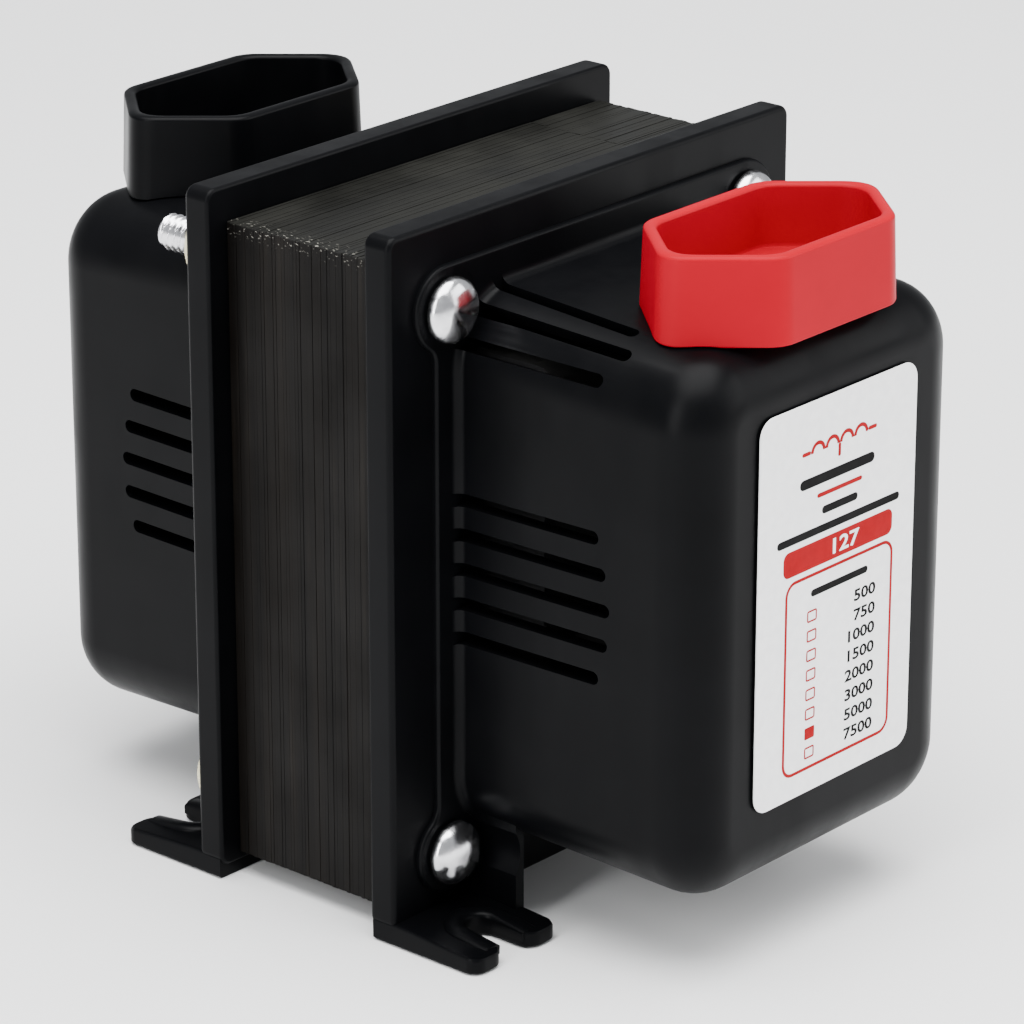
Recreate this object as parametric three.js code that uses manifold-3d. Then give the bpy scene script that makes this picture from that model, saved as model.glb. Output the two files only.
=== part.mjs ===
// Plug-in autotransformer: an EI-84 lamination stack with one tapped coil, closed by two
// moulded end covers that carry a hexagonal mains socket each. Millimetres, +Z up.
// X is the width, Y is the clamping-bolt axis and z = 0 is the underside of the feet.
import * as THREE from 'three';
import { mergeVertices } from 'three/addons/utils/BufferGeometryUtils.js';
import Module from 'manifold-3d';

const wasm = await Module();
wasm.setup();

// ---- driving dimensions -------------------------------------------------------------
const GAP = 0.3; // clearance kept between touching pieces
const TONGUE = 28; // EI-84 tongue width; every lamination size follows from it
const CORE_HEIGHT = 3 * TONGUE; // 84, along Z
const CORE_WIDTH = 2.5 * TONGUE; // 70, along X
const WINDOW_LENGTH = 1.5 * TONGUE; // 42, along X
const LEG = TONGUE / 2; // 14, outer legs, yoke and window height
const STACK = 25; // lamination stack thickness, along Y
const CORE_BASE = 3; // underside of the core above the feet
const CORE_MID = CORE_BASE + CORE_HEIGHT / 2;
const BOLT_X = 28.5; // bolt axes, half their spacing
const BOLT_Z = 35.4;
const BOLT_MID = 45.4; // height midway between the bolts

const FLANGE_WIDTH = 76;
const FLANGE_TOP = 91.4;
const FLANGE_BASE = 1.6; // flange edge between the feet
const FLANGE_THICK = 4;
const FLANGE_INNER = STACK / 2 + GAP; // flange face against the core
const FLANGE_OUTER = FLANGE_INNER + FLANGE_THICK;
const LEDGE_HEIGHT = 0.8; // raised step around the bell
const LEDGE_FACE = FLANGE_OUTER + LEDGE_HEIGHT;
const LEDGE_HALF_WIDTH = 30.5;
const LEDGE_TOP = 85.6;
const LEDGE_BASE = 8.6;
const LOBE_RADIUS = 5.4;

const BELL_END = 54.4; // outer end face of each bell, from the core's mid-plane
const BELL_HALF_WIDTH = 26.8;
const BELL_TOP = 81.6; // at the flange
const BELL_BASE = 11.4; // at the flange
const BELL_CORNER = 9; // radius of the edges that run along Y
const BELL_END_RADIUS = 7; // radius of the edges around the end face
const BELL_DRAFT = 1; // how far each side leans in over its length
const BELL_TOP_DRAFT = 0.9; // further fall of the top over the same length
const BELL_BASE_DRAFT = 2.3; // fall of the base over the same length
const WALL = 2;

const FOOT_WIDTH = 15.4;
const FOOT_REACH = 30.3; // tine ends, from the core's mid-plane
const FOOT_THICK = 3;
const FOOT_SLOT_WIDTH = 4.6;
const FOOT_SLOT_ROOT = 22; // closed end of the slot
const GUSSET_THICK = 1.6;
const GUSSET_REACH = 24.6;
const GUSSET_TOP = 20.4;

const VENT_WIDTH = 1.7;
const VENT_PITCH = 4.5;
const VENT_MID_Z = 47.2;
const VENT_ENDS = [39.3, 40.6, 40.9, 40.3, 39.2]; // outer ends, bottom slot first
const UPPER_VENT_ANGLES = [22, 52, 80]; // around the bell's upper edges, from the side
const UPPER_VENT_ENDS = [38.8, 40.8, 39.2];

const SOCKET_Y = 43.6;
const SKIRT_BASE = 79.7; // lowest edge of the shroud, scribed to the bell further in
const SHROUD_TOP = 90.8;
const SHROUD_WALL = 2;
const WELL_FLOOR = 82.6;
const NECK_BASE = 66;
const NECK_CEILING = 80.6;
const PIN_RADIUS = 2.4;
const PIN_SPACING = 19;
const EARTH_OFFSET = 3;

const BOLT_RADIUS = 2.38; // 3/16 inch
const BOLT_HOLE = BOLT_RADIUS + 0.37;
const HEAD_RADIUS = 4.1;
const HEAD_HEIGHT = 2.7;
const RELIEF_RADIUS = 5.2; // scallop in the bell beside each head and nut
const UPPER_BOLT_END = 29.2;
const LOWER_BOLT_END = 24.4;

// ---- solids -------------------------------------------------------------------------
const X = new THREE.Vector3(1, 0, 0);
const Y = new THREE.Vector3(0, 1, 0);
const Z = new THREE.Vector3(0, 0, 1);

function solid(geometry) {
  const bare = geometry.index ? geometry.toNonIndexed() : geometry.clone();
  bare.deleteAttribute('normal');
  bare.deleteAttribute('uv');
  const merged = mergeVertices(bare, 1e-4);
  return new wasm.Manifold(new wasm.Mesh({
    numProp: 3,
    vertProperties: new Float32Array(merged.attributes.position.array),
    triVerts: new Uint32Array(merged.index.array),
  }));
}

function join(pieces) {
  return pieces.reduce((whole, piece) => whole.add(piece));
}

function cut(body, tools) {
  return tools.reduce((rest, tool) => rest.subtract(tool), body);
}

function extrude(shape, depth, curveSegments = 8) {
  return new THREE.ExtrudeGeometry(shape, { depth, bevelEnabled: false, curveSegments });
}

// Shape in XZ, extruded from y0 to y1.
function alongY(shape, y0, y1, segments) {
  const frame = new THREE.Matrix4().makeBasis(X, Z, Y.clone().negate());
  return solid(extrude(shape, y1 - y0, segments).applyMatrix4(frame).translate(0, y1, 0));
}

// Shape in YZ, extruded from x0 to x1.
function alongX(shape, x0, x1, segments) {
  const frame = new THREE.Matrix4().makeBasis(Y, Z, X);
  return solid(extrude(shape, x1 - x0, segments).applyMatrix4(frame).translate(x0, 0, 0));
}

// Shape in XY, extruded from z0 to z1.
function alongZ(shape, z0, z1, segments) {
  return solid(extrude(shape, z1 - z0, segments).translate(0, 0, z0));
}

function block(x0, x1, y0, y1, z0, z1) {
  const box = new THREE.BoxGeometry(x1 - x0, y1 - y0, z1 - z0);
  return solid(box.translate((x0 + x1) / 2, (y0 + y1) / 2, (z0 + z1) / 2));
}

function rodY(radius, x, z, y0, y1, segments = 20) {
  const rod = new THREE.CylinderGeometry(radius, radius, y1 - y0, segments);
  return solid(rod.translate(x, (y0 + y1) / 2, z));
}

function rodZ(radius, x, y, z0, z1, segments = 20) {
  const rod = new THREE.CylinderGeometry(radius, radius, z1 - z0, segments).rotateX(Math.PI / 2);
  return solid(rod.translate(x, y, (z0 + z1) / 2));
}

function roundedPolygon(corners, radii) {
  const shape = new THREE.Shape();
  const count = corners.length;
  corners.forEach((corner, i) => {
    const before = corners[(i + count - 1) % count].clone().sub(corner).normalize();
    const after = corners[(i + 1) % count].clone().sub(corner).normalize();
    const start = corner.clone().addScaledVector(before, radii[i]);
    const end = corner.clone().addScaledVector(after, radii[i]);
    if (i === 0) shape.moveTo(start.x, start.y);
    else shape.lineTo(start.x, start.y);
    if (radii[i] > 0) shape.quadraticCurveTo(corner.x, corner.y, end.x, end.y);
  });
  shape.closePath();
  return shape;
}

function rectangle(x0, x1, y0, y1, radius = 0) {
  const corners = [[x0, y0], [x1, y0], [x1, y1], [x0, y1]].map(([x, y]) => new THREE.Vector2(x, y));
  return roundedPolygon(corners, corners.map(() => radius));
}

// A slot that starts square at u0 and ends round at u1, centred on v.
function slotShape(u0, u1, v, width) {
  const r = width / 2;
  const shape = new THREE.Shape();
  shape.moveTo(u0, v - r);
  shape.lineTo(u1 - r, v - r);
  shape.absarc(u1 - r, v, r, -Math.PI / 2, Math.PI / 2, false);
  shape.lineTo(u0, v + r);
  shape.closePath();
  return shape;
}

// ---- materials ----------------------------------------------------------------------
const BLACK_PLASTIC = ['#17181b', 0.42, 0];
const RED_PLASTIC = ['#f5102a', 0.4, 0];
const STEEL_CORE = ['#2a2722', 0.7, 0.4];
const CHROME = ['#d8d8da', 0.18, 1];
const ZINC = ['#c9bf95', 0.35, 1];
const BRASS = ['#c8a248', 0.3, 1];
const COPPER = ['#b4632c', 0.35, 1];
const BLACK_NYLON = ['#1e1e21', 0.55, 0];
const NYLON = ['#e9e4d4', 0.55, 0];
const FISH_PAPER = ['#7d8a72', 0.8, 0];
const TAPE = ['#232325', 0.6, 0];
const LABEL = ['#fbfbfb', 0.45, 0];
const CABLE_BLACK = ['#1b1b1d', 0.5, 0];
const CABLE_BLUE = ['#2b58b0', 0.5, 0];
const CABLE_GREEN = ['#2f9a45', 0.5, 0];

const part = new THREE.Group();

function place(name, body, [color, roughness, metalness], parent = part) {
  const { vertProperties, triVerts } = body.getMesh();
  const geometry = new THREE.BufferGeometry();
  geometry.setAttribute('position', new THREE.BufferAttribute(vertProperties, 3));
  geometry.setIndex(new THREE.BufferAttribute(triVerts, 1));
  geometry.computeVertexNormals();
  const material = new THREE.MeshStandardMaterial({ color, roughness, metalness });
  const mesh = new THREE.Mesh(geometry, material);
  mesh.name = name;
  parent.add(mesh);
  return mesh;
}

// ---- lamination core ----------------------------------------------------------------
function boltHoles(signs) {
  return signs.flatMap((sx) => [-1, 1].map((sz) => (
    rodY(BOLT_HOLE, sx * BOLT_X, BOLT_MID + sz * BOLT_Z, -STACK, STACK))));
}

function addCore() {
  const yokeX = WINDOW_LENGTH / 2;
  const half = STACK / 2;
  const top = CORE_BASE + CORE_HEIGHT;
  const eBlank = block(-CORE_WIDTH / 2, yokeX, -half, half, CORE_BASE, top);
  const windows = [-1, 1].map((side) => {
    const mid = CORE_MID + side * (TONGUE / 2 + LEG / 2);
    return block(-yokeX, yokeX + 1, -STACK, STACK, mid - LEG / 2, mid + LEG / 2);
  });
  place('e_lamination_stack', cut(eBlank, [...windows, ...boltHoles([-1])]), STEEL_CORE);
  const iBlank = block(yokeX + GAP, CORE_WIDTH / 2, -half, half, CORE_BASE, top);
  place('i_lamination_stack', cut(iBlank, boltHoles([1])), STEEL_CORE);
}

// ---- coil ---------------------------------------------------------------------------
// A sleeve around the tongue, given by its half sizes along Y and Z.
function sleeve(inner, outer, halfLength) {
  const section = (half, radius) => rectangle(
    -half.y, half.y, CORE_MID - half.z, CORE_MID + half.z, radius);
  const outside = alongX(section(outer, outer.r), -halfLength, halfLength, 4);
  return outside.subtract(alongX(section(inner, inner.r), -halfLength - 1, halfLength + 1, 4));
}

function addCoil() {
  const around = (build, r) => ({ y: STACK / 2 + build, z: TONGUE / 2 + build, r });
  const halfLength = WINDOW_LENGTH / 2 - GAP;
  const cheek = 1.2;
  const windingHalf = halfLength - cheek - GAP;
  const tube = sleeve(around(0.3, 0), around(1.5, 0.5), halfLength);
  const cheeks = [-1, 1].map((side) => {
    const plate = sleeve(around(0.3, 0), around(13.7, 2), cheek / 2);
    return plate.translate([side * (halfLength - cheek / 2), 0, 0]);
  });
  place('coil_bobbin', join([tube, ...cheeks]), BLACK_NYLON);
  place('common_winding', sleeve(around(1.8, 0.8), around(6, 4), windingHalf), COPPER);
  place('interlayer_insulation', sleeve(around(6.3, 4.2), around(6.8, 4.6), windingHalf), FISH_PAPER);
  place('series_winding', sleeve(around(7.1, 4.8), around(11.6, 8), windingHalf), COPPER);
  place('outer_tape_wrap', sleeve(around(11.9, 8.2), around(12.7, 8.8), windingHalf), TAPE);
}

// ---- end covers, built at the front and turned for the rear -------------------------
// Rounded-rectangle ring of the bell at distance y, pulled in on all sides. The drafts on top and
// base apply in full at drop = 1.
function bellRing(y, inset, radius, drop) {
  const arc = 6;
  const halfWidth = BELL_HALF_WIDTH - inset;
  const top = BELL_TOP - inset - drop * BELL_TOP_DRAFT;
  const base = BELL_BASE + inset - drop * BELL_BASE_DRAFT;
  const centres = [
    [halfWidth - radius, top - radius],
    [radius - halfWidth, top - radius],
    [radius - halfWidth, base + radius],
    [halfWidth - radius, base + radius],
  ];
  return centres.flatMap(([cx, cz], quarter) => (
    Array.from({ length: arc + 1 }, (_, i) => {
      const angle = (quarter + i / arc) * Math.PI / 2;
      return new THREE.Vector3(cx + radius * Math.cos(angle), y, cz + radius * Math.sin(angle));
    })));
}

function bellSolid(rootY, endY, inset) {
  const endRadius = BELL_END_RADIUS - inset;
  const steps = 6;
  const straight = endY - endRadius;
  const corner = BELL_CORNER - inset;
  const drafted = inset + BELL_DRAFT;
  const rings = [bellRing(-rootY, inset, corner, 0), bellRing(-straight, drafted, corner, 1)];
  for (let i = 1; i <= steps; i += 1) {
    const angle = (i / steps) * Math.PI / 2;
    const pull = endRadius * (1 - Math.cos(angle));
    const y = -straight - endRadius * Math.sin(angle);
    rings.push(bellRing(y, drafted + pull, corner - pull, 1));
  }
  const count = rings[0].length;
  const indices = [];
  for (let r = 0; r + 1 < rings.length; r += 1) {
    for (let i = 0; i < count; i += 1) {
      const a = r * count + i;
      const b = r * count + ((i + 1) % count);
      indices.push(a, b, b + count, a, b + count, a + count);
    }
  }
  const last = (rings.length - 1) * count;
  for (let i = 1; i + 1 < count; i += 1) {
    indices.push(0, i + 1, i);
    indices.push(last, last + i, last + i + 1);
  }
  const geometry = new THREE.BufferGeometry().setFromPoints(rings.flat());
  geometry.setIndex(indices);
  return solid(geometry);
}

function footShape(side) {
  const outer = FLANGE_WIDTH / 2;
  const inner = outer - FOOT_WIDTH;
  const mid = side * (outer + inner) / 2;
  const tine = (FOOT_WIDTH - FOOT_SLOT_WIDTH) / 2;
  const corners = [
    [mid - FOOT_WIDTH / 2, -FLANGE_INNER],
    [mid - FOOT_WIDTH / 2, -FOOT_REACH],
    [mid - FOOT_WIDTH / 2 + tine, -FOOT_REACH],
    [mid - FOOT_SLOT_WIDTH / 2, -FOOT_SLOT_ROOT],
    [mid + FOOT_SLOT_WIDTH / 2, -FOOT_SLOT_ROOT],
    [mid + FOOT_WIDTH / 2 - tine, -FOOT_REACH],
    [mid + FOOT_WIDTH / 2, -FOOT_REACH],
    [mid + FOOT_WIDTH / 2, -FLANGE_INNER],
  ].map(([x, y]) => new THREE.Vector2(x, y));
  return roundedPolygon(corners, [0, 1.6, 2.2, 2.2, 2.2, 2.2, 1.6, 0]);
}

function gusset(side) {
  const corners = [
    [-FLANGE_INNER - 1, 0], [-FLANGE_INNER - 1, GUSSET_TOP],
    [-GUSSET_REACH, GUSSET_TOP], [-GUSSET_REACH, 0],
  ].map(([y, z]) => new THREE.Vector2(y, z));
  const innerEdge = side * (FLANGE_WIDTH / 2 - FOOT_WIDTH);
  const outerEdge = innerEdge + side * GUSSET_THICK;
  const profile = roundedPolygon(corners, [0, 0, 1, 0]);
  return alongX(profile, Math.min(innerEdge, outerEdge), Math.max(innerEdge, outerEdge), 5);
}

// Slot cutter that runs from the ledge to a round end, level with z = 0.
function ventCutter(end, x0, x1) {
  return alongX(slotShape(LEDGE_FACE, end, 0, VENT_WIDTH), x0, x1, 4).mirror([0, 1, 0]);
}

// The same slot turned about the bell's upper edge, 0 degrees on the side and 90 on top.
function upperVent(side, degrees, end) {
  const turn = side > 0 ? degrees : 180 - degrees;
  const edgeCentre = [side * (BELL_HALF_WIDTH - BELL_CORNER), 0, BELL_TOP - BELL_CORNER];
  return ventCutter(end, 4, BELL_CORNER + 4).rotate([0, -turn, 0]).translate(edgeCentre);
}

function coverSolid(hasUpperVents) {
  const sides = [-1, 1];
  const half = FLANGE_WIDTH / 2;
  const flange = alongY(rectangle(-half, half, FLANGE_BASE, FLANGE_TOP, 1.6), -FLANGE_OUTER, -FLANGE_INNER);
  const ledge = alongY(
    rectangle(-LEDGE_HALF_WIDTH, LEDGE_HALF_WIDTH, LEDGE_BASE, LEDGE_TOP, 3), -LEDGE_FACE, -FLANGE_INNER - 1);
  const lobes = sides.flatMap((sx) => sides.map((sz) => (
    rodY(LOBE_RADIUS, sx * BOLT_X, BOLT_MID + sz * BOLT_Z, -LEDGE_FACE, -FLANGE_INNER - 1, 28))));
  const feet = sides.map((side) => alongZ(footShape(side), 0, FOOT_THICK, 4));
  const bell = bellSolid(FLANGE_INNER + 1, BELL_END, 0);
  const headRelief = sides.flatMap((sx) => sides.map((sz) => (
    rodY(RELIEF_RADIUS, sx * BOLT_X, BOLT_MID + sz * BOLT_Z, -BELL_END - 1, -LEDGE_FACE, 28))));
  const cavity = bellSolid(FLANGE_INNER - 1, BELL_END - WALL, WALL);
  const neckHole = alongZ(neckShape(GAP), BELL_TOP - 8, BELL_TOP + 5);
  const vents = VENT_ENDS.map((end, i) => (
    ventCutter(end, -half, half).translate([0, 0, VENT_MID_Z + (i - 2) * VENT_PITCH])));
  const upper = !hasUpperVents ? [] : sides.flatMap((side) => (
    UPPER_VENT_ANGLES.map((degrees, i) => upperVent(side, degrees, UPPER_VENT_ENDS[i]))));
  const outside = join([flange, ledge, ...lobes, bell, ...feet, ...sides.map(gusset)]);
  return cut(outside, [...headRelief, ...boltHoles(sides), cavity, neckHole, ...vents, ...upper]);
}

// ---- sockets ------------------------------------------------------------------------
// Elongated hexagon with pointed, rounded ends along X.
function hexagonShape(halfLength, halfWidth, flatHalf, tipRadius, cornerRadius) {
  const y = -SOCKET_Y;
  const corners = [
    [flatHalf, y + halfWidth], [-flatHalf, y + halfWidth], [-halfLength, y],
    [-flatHalf, y - halfWidth], [flatHalf, y - halfWidth], [halfLength, y],
  ].map(([px, py]) => new THREE.Vector2(px, py));
  const radii = [cornerRadius, cornerRadius, tipRadius, cornerRadius, cornerRadius, tipRadius];
  return roundedPolygon(corners, radii);
}

function neckShape(grow) {
  return hexagonShape(16 + grow, 7.6 + grow, 9.4, 3, 2);
}

function shroudShape(inset) {
  return hexagonShape(20.9 - 1.2 * inset, 11.2 - inset, 11.1 - 0.3 * inset, 3.5, 2);
}

const CONTACTS = [
  { name: 'line', x: -PIN_SPACING / 2, y: 0 },
  { name: 'neutral', x: PIN_SPACING / 2, y: 0 },
  { name: 'earth', x: 0, y: EARTH_OFFSET },
];
const SLEEVE_BASE = 68;
const TAB_BASE = 60;

function socketHousing() {
  const bellClearance = bellSolid(FLANGE_INNER + 1, BELL_END + GAP, -GAP);
  const shroud = alongZ(shroudShape(0), SKIRT_BASE, SHROUD_TOP, 5).subtract(bellClearance);
  const neck = alongZ(neckShape(0), NECK_BASE, WELL_FLOOR - 0.5, 5);
  const well = alongZ(shroudShape(SHROUD_WALL), WELL_FLOOR, SHROUD_TOP + 1, 5);
  const chamber = alongZ(neckShape(-1.2), NECK_BASE - 1, NECK_CEILING, 5);
  const pinHoles = CONTACTS.map(({ x, y }) => (
    rodZ(PIN_RADIUS + 0.2, x, y - SOCKET_Y, NECK_CEILING - 1, WELL_FLOOR + 1)));
  return cut(shroud.add(neck), [well, chamber, ...pinHoles]);
}

function contactCarrier() {
  const plate = alongZ(neckShape(0), NECK_BASE - GAP - 1.5, NECK_BASE - GAP, 5);
  const plug = alongZ(neckShape(-1.6), NECK_BASE - GAP - 1, NECK_BASE + 1, 5);
  const slots = CONTACTS.map(({ x, y }) => (
    block(x - 1.7, x + 1.7, y - SOCKET_Y - 0.8, y - SOCKET_Y + 0.8, NECK_BASE - 4, NECK_BASE + 3)));
  return cut(plate.add(plug), slots);
}

function contactSleeve({ x, y }) {
  const cy = y - SOCKET_Y;
  const outside = rodZ(PIN_RADIUS + 0.6, x, cy, SLEEVE_BASE, NECK_CEILING - GAP);
  const bore = rodZ(PIN_RADIUS, x, cy, SLEEVE_BASE + 1.5, NECK_CEILING + 1);
  const slit = block(x - 0.4, x + 0.4, cy, cy + 4, SLEEVE_BASE + 3, NECK_CEILING + 1);
  const tab = block(x - 1.3, x + 1.3, cy - 0.4, cy + 0.4, TAB_BASE, SLEEVE_BASE + 0.5);
  return cut(outside, [bore, slit]).add(tab);
}

function wire(points, radius = 1.1) {
  const route = new THREE.CatmullRomCurve3(points.map((p) => new THREE.Vector3(...p)));
  const section = new THREE.Shape();
  section.absarc(0, 0, radius, 0, 2 * Math.PI, false);
  return solid(new THREE.ExtrudeGeometry(section, { steps: 16, curveSegments: 4, extrudePath: route }));
}

function addEnd(end, plastic, parent) {
  place(`${end}_cover`, coverSolid(end === 'front'), BLACK_PLASTIC, parent);
  place(`${end}_socket_housing`, socketHousing(), plastic, parent);
  place(`${end}_contact_carrier`, contactCarrier(), NYLON, parent);
  CONTACTS.forEach((contact) => {
    place(`${end}_${contact.name}_contact`, contactSleeve(contact), BRASS, parent);
  });
  const tapeFace = -STACK / 2 - 12.7;
  const coreFace = -STACK / 2 - GAP;
  const leadEnd = TAB_BASE - GAP;
  [[-1, 'line', CABLE_BLACK], [1, 'neutral', CABLE_BLUE]].forEach(([side, name, finish]) => {
    const x = side * PIN_SPACING / 2;
    const route = [
      [x, -SOCKET_Y, leadEnd], [x, -SOCKET_Y, leadEnd - 6], [x * 1.2, -40, leadEnd - 16],
      [x * 1.4, -33, leadEnd - 22], [x * 1.4, tapeFace - GAP - 0.2, leadEnd - 24],
    ];
    place(`${end}_${name}_lead`, wire(route), finish, parent);
  });
  const lugZ = 76;
  const lug = block(-3, 3, coreFace - 0.8, coreFace, lugZ - 2.6, lugZ + 2.6);
  const crimp = block(-1.6, 1.6, coreFace - 4, coreFace - 0.5, lugZ - 1.6, lugZ + 1.6);
  place(`${end}_earth_lug`, lug.add(crimp), BRASS, parent);
  const earthY = EARTH_OFFSET - SOCKET_Y;
  const earthRoute = [
    [0, earthY, leadEnd], [0, earthY + 1, leadEnd - 4], [0, -35, leadEnd - 6], [0, -30.5, leadEnd + 1],
    [0, -29, leadEnd + 10], [0, -24, lugZ - 1], [0, coreFace - 4 - GAP, lugZ],
  ];
  place(`${end}_earth_lead`, wire(earthRoute, 1), CABLE_GREEN, parent);
}

// ---- fasteners ----------------------------------------------------------------------
function domedBolt(end) {
  const dome = 6;
  const profile = [new THREE.Vector2(0, -LEDGE_FACE - GAP - HEAD_HEIGHT)];
  for (let i = 1; i <= dome; i += 1) {
    const angle = (i / dome) * Math.PI / 2;
    profile.push(new THREE.Vector2(
      HEAD_RADIUS * Math.sin(angle), -LEDGE_FACE - GAP - 0.4 - (HEAD_HEIGHT - 0.4) * Math.cos(angle)));
  }
  profile.push(new THREE.Vector2(HEAD_RADIUS, -LEDGE_FACE - GAP));
  profile.push(new THREE.Vector2(BOLT_RADIUS, -LEDGE_FACE - GAP));
  profile.push(new THREE.Vector2(BOLT_RADIUS, end - 0.6));
  profile.push(new THREE.Vector2(BOLT_RADIUS - 0.6, end));
  profile.push(new THREE.Vector2(0, end));
  return solid(new THREE.LatheGeometry(profile, 20));
}

function washer(y0, y1) {
  return rodY(4.8, 0, 0, y0, y1, 24).subtract(rodY(BOLT_HOLE, 0, 0, y0 - 1, y1 + 1));
}

function hexNut(y0, y1) {
  return rodY(4.6, 0, 0, y0, y1, 6).subtract(rodY(BOLT_HOLE, 0, 0, y0 - 1, y1 + 1));
}

function addFasteners() {
  const corners = { upper_left: [-1, 1], upper_right: [1, 1], lower_left: [-1, -1], lower_right: [1, -1] };
  const washerFace = LEDGE_FACE + GAP;
  const nutFace = washerFace + 1 + GAP;
  Object.entries(corners).forEach(([corner, [sx, sz]]) => {
    const station = new THREE.Group();
    station.position.set(sx * BOLT_X, 0, BOLT_MID + sz * BOLT_Z);
    part.add(station);
    place(`${corner}_bolt`, domedBolt(sz > 0 ? UPPER_BOLT_END : LOWER_BOLT_END), CHROME, station);
    place(`${corner}_washer`, washer(washerFace, washerFace + 1), ZINC, station);
    place(`${corner}_nut`, hexNut(nutFace, nutFace + 3.2), ZINC, station);
  });
}

// ---- assembly -----------------------------------------------------------------------
addCore();
addCoil();

const front = new THREE.Group();
part.add(front);
addEnd('front', RED_PLASTIC, front);

const rear = new THREE.Group();
rear.rotation.z = Math.PI;
part.add(rear);
addEnd('rear', BLACK_PLASTIC, rear);

const protectorFace = -STACK / 2 - 12.7 - GAP;
place('thermal_protector', block(-7, 7, protectorFace - 3.6, protectorFace, 40, 47), CABLE_BLACK);

const labelShape = rectangle(-15.3, 15.3, 21, 71.6, 2.6);
place('rating_label', alongY(labelShape, -BELL_END - GAP - 0.25, -BELL_END - GAP, 5), LABEL);

addFasteners();

export default part;
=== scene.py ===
"""Plug-in autotransformer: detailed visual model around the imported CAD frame. Sizes in millimetres."""
import math
import random

import bmesh
import bpy
from mathutils import Matrix, Vector


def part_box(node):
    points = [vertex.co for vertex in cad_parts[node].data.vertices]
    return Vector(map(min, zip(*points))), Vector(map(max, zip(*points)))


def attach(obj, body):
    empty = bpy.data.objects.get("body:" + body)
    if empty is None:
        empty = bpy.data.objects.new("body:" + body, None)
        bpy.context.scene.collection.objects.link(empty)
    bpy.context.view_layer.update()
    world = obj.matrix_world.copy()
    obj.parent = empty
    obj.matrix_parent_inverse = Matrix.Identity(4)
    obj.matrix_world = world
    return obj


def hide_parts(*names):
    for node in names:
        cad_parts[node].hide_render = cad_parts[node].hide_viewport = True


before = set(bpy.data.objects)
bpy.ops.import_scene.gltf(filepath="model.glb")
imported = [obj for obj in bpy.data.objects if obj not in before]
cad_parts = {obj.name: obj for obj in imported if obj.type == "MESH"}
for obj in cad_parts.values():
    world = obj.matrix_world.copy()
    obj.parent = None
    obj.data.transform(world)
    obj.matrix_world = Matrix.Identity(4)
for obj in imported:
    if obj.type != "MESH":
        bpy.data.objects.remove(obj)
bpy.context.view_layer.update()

MM = 0.001
BODY = "root"


def node_box(node):
    """Lowest and highest corner of a CAD node, in millimetres."""
    low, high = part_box(node)
    return Vector(low) / MM, Vector(high) / MM


# ---- sizes, from the frame where it holds them ----------------------------------------
core_low, core_high = node_box("e_lamination_stack")
i_low, i_high = node_box("i_lamination_stack")
cover_low, cover_high = node_box("front_cover")
housing_low, housing_high = node_box("front_socket_housing")
bolt_low, bolt_high = node_box("upper_left_bolt")
label_low, label_high = node_box("rating_label")

STACK_HALF = core_high.y
CORE_HALF_WIDTH = i_high.x
YOKE_X = i_low.x - 0.02
CORE_BASE = core_low.z
CORE_TOP = core_high.z
CORE_MID = (CORE_BASE + CORE_TOP) / 2
TONGUE = (CORE_TOP - CORE_BASE) / 3
LEG = TONGUE / 2
WINDOW_X = core_high.x
BOLT_X = -(bolt_low.x + bolt_high.x) / 2
BOLT_Z = 35.4
BOLT_MID = (bolt_low.z + bolt_high.z) / 2 - BOLT_Z

FLANGE_HALF = cover_high.x
FLANGE_TOP = cover_high.z
FLANGE_BASE = 1.6
FLANGE_INNER = -cover_high.y
FLANGE_OUTER = FLANGE_INNER + 4
LEDGE_FACE = FLANGE_OUTER + 0.8
LEDGE_HALF = 30.5
LEDGE_BASE = 8.6
LOBE_RADIUS = 5.4
RELIEF_RADIUS = 5.2

BELL_END = -cover_low.y
BELL_HALF = 26.8
BELL_TOP = 81.6
BELL_BASE = 11.4
BELL_CORNER = 9
BELL_END_RADIUS = 7
BELL_DRAFT = 1
BELL_TOP_DRAFT = 0.9
BELL_BASE_DRAFT = 2.3
BELL_FILLET = 1.3
WALL = 2

FOOT_WIDTH = 15.4
FOOT_REACH = 30.3
FOOT_THICK = 3
FOOT_SLOT = 4.6
FOOT_SLOT_ROOT = 22
GUSSET_THICK = 1.5
GUSSET_REACH = 24.6
GUSSET_TOP = 20.4

VENT_WIDTH = 1.7
VENT_PITCH = 4.5
VENT_MID_Z = 47.2
VENT_ENDS = (39.3, 40.6, 40.9, 40.3, 39.2)
UPPER_VENTS = ((22, 38.8), (52, 40.8), (80, 39.2))

SOCKET_Y = -(housing_low.y + housing_high.y) / 2
SHROUD_TOP = housing_high.z
SKIRT_BASE = 79.7
NECK_BASE = housing_low.z
NECK_CEILING = 80.6
WELL_FLOOR = 82.6
SHROUD_HALF_LENGTH = 20.9
SHROUD_HALF_WIDTH = 11.2
SHROUD_FLAT_HALF = 11.1
SHROUD_WALL = 2
NECK_HALF_LENGTH = 16
NECK_HALF_WIDTH = 7.6
NECK_FLAT_HALF = 9.4
NECK_WALL = 1.2
NECK_GAP = 0.3
PIN_HOLE = 2.6
PIN_X = 9.5
EARTH_OFFSET = 3

BOLT_RADIUS = 2.38
THREAD_START = 12.2
THREAD_PITCH = 1.05
THREAD_DEPTH = 0.5
THREAD_CORE = 1.2
HOLE_RADIUS = 2.75
HEAD_RADIUS = (bolt_high.x - bolt_low.x) / 2

SHEETS = 50
SHEET_GAP = 0.022
SHEET_INSET = 0.01
SHEET_SHIFT = 0.1

# ---- mesh helpers -----------------------------------------------------------------------


def new_object(name, verts, faces):
    mesh = bpy.data.meshes.new(name)
    mesh.from_pydata([Vector(v) * MM for v in verts], [], faces)
    mesh.validate()
    obj = bpy.data.objects.new(name, mesh)
    bpy.context.collection.objects.link(obj)
    return obj


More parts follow.
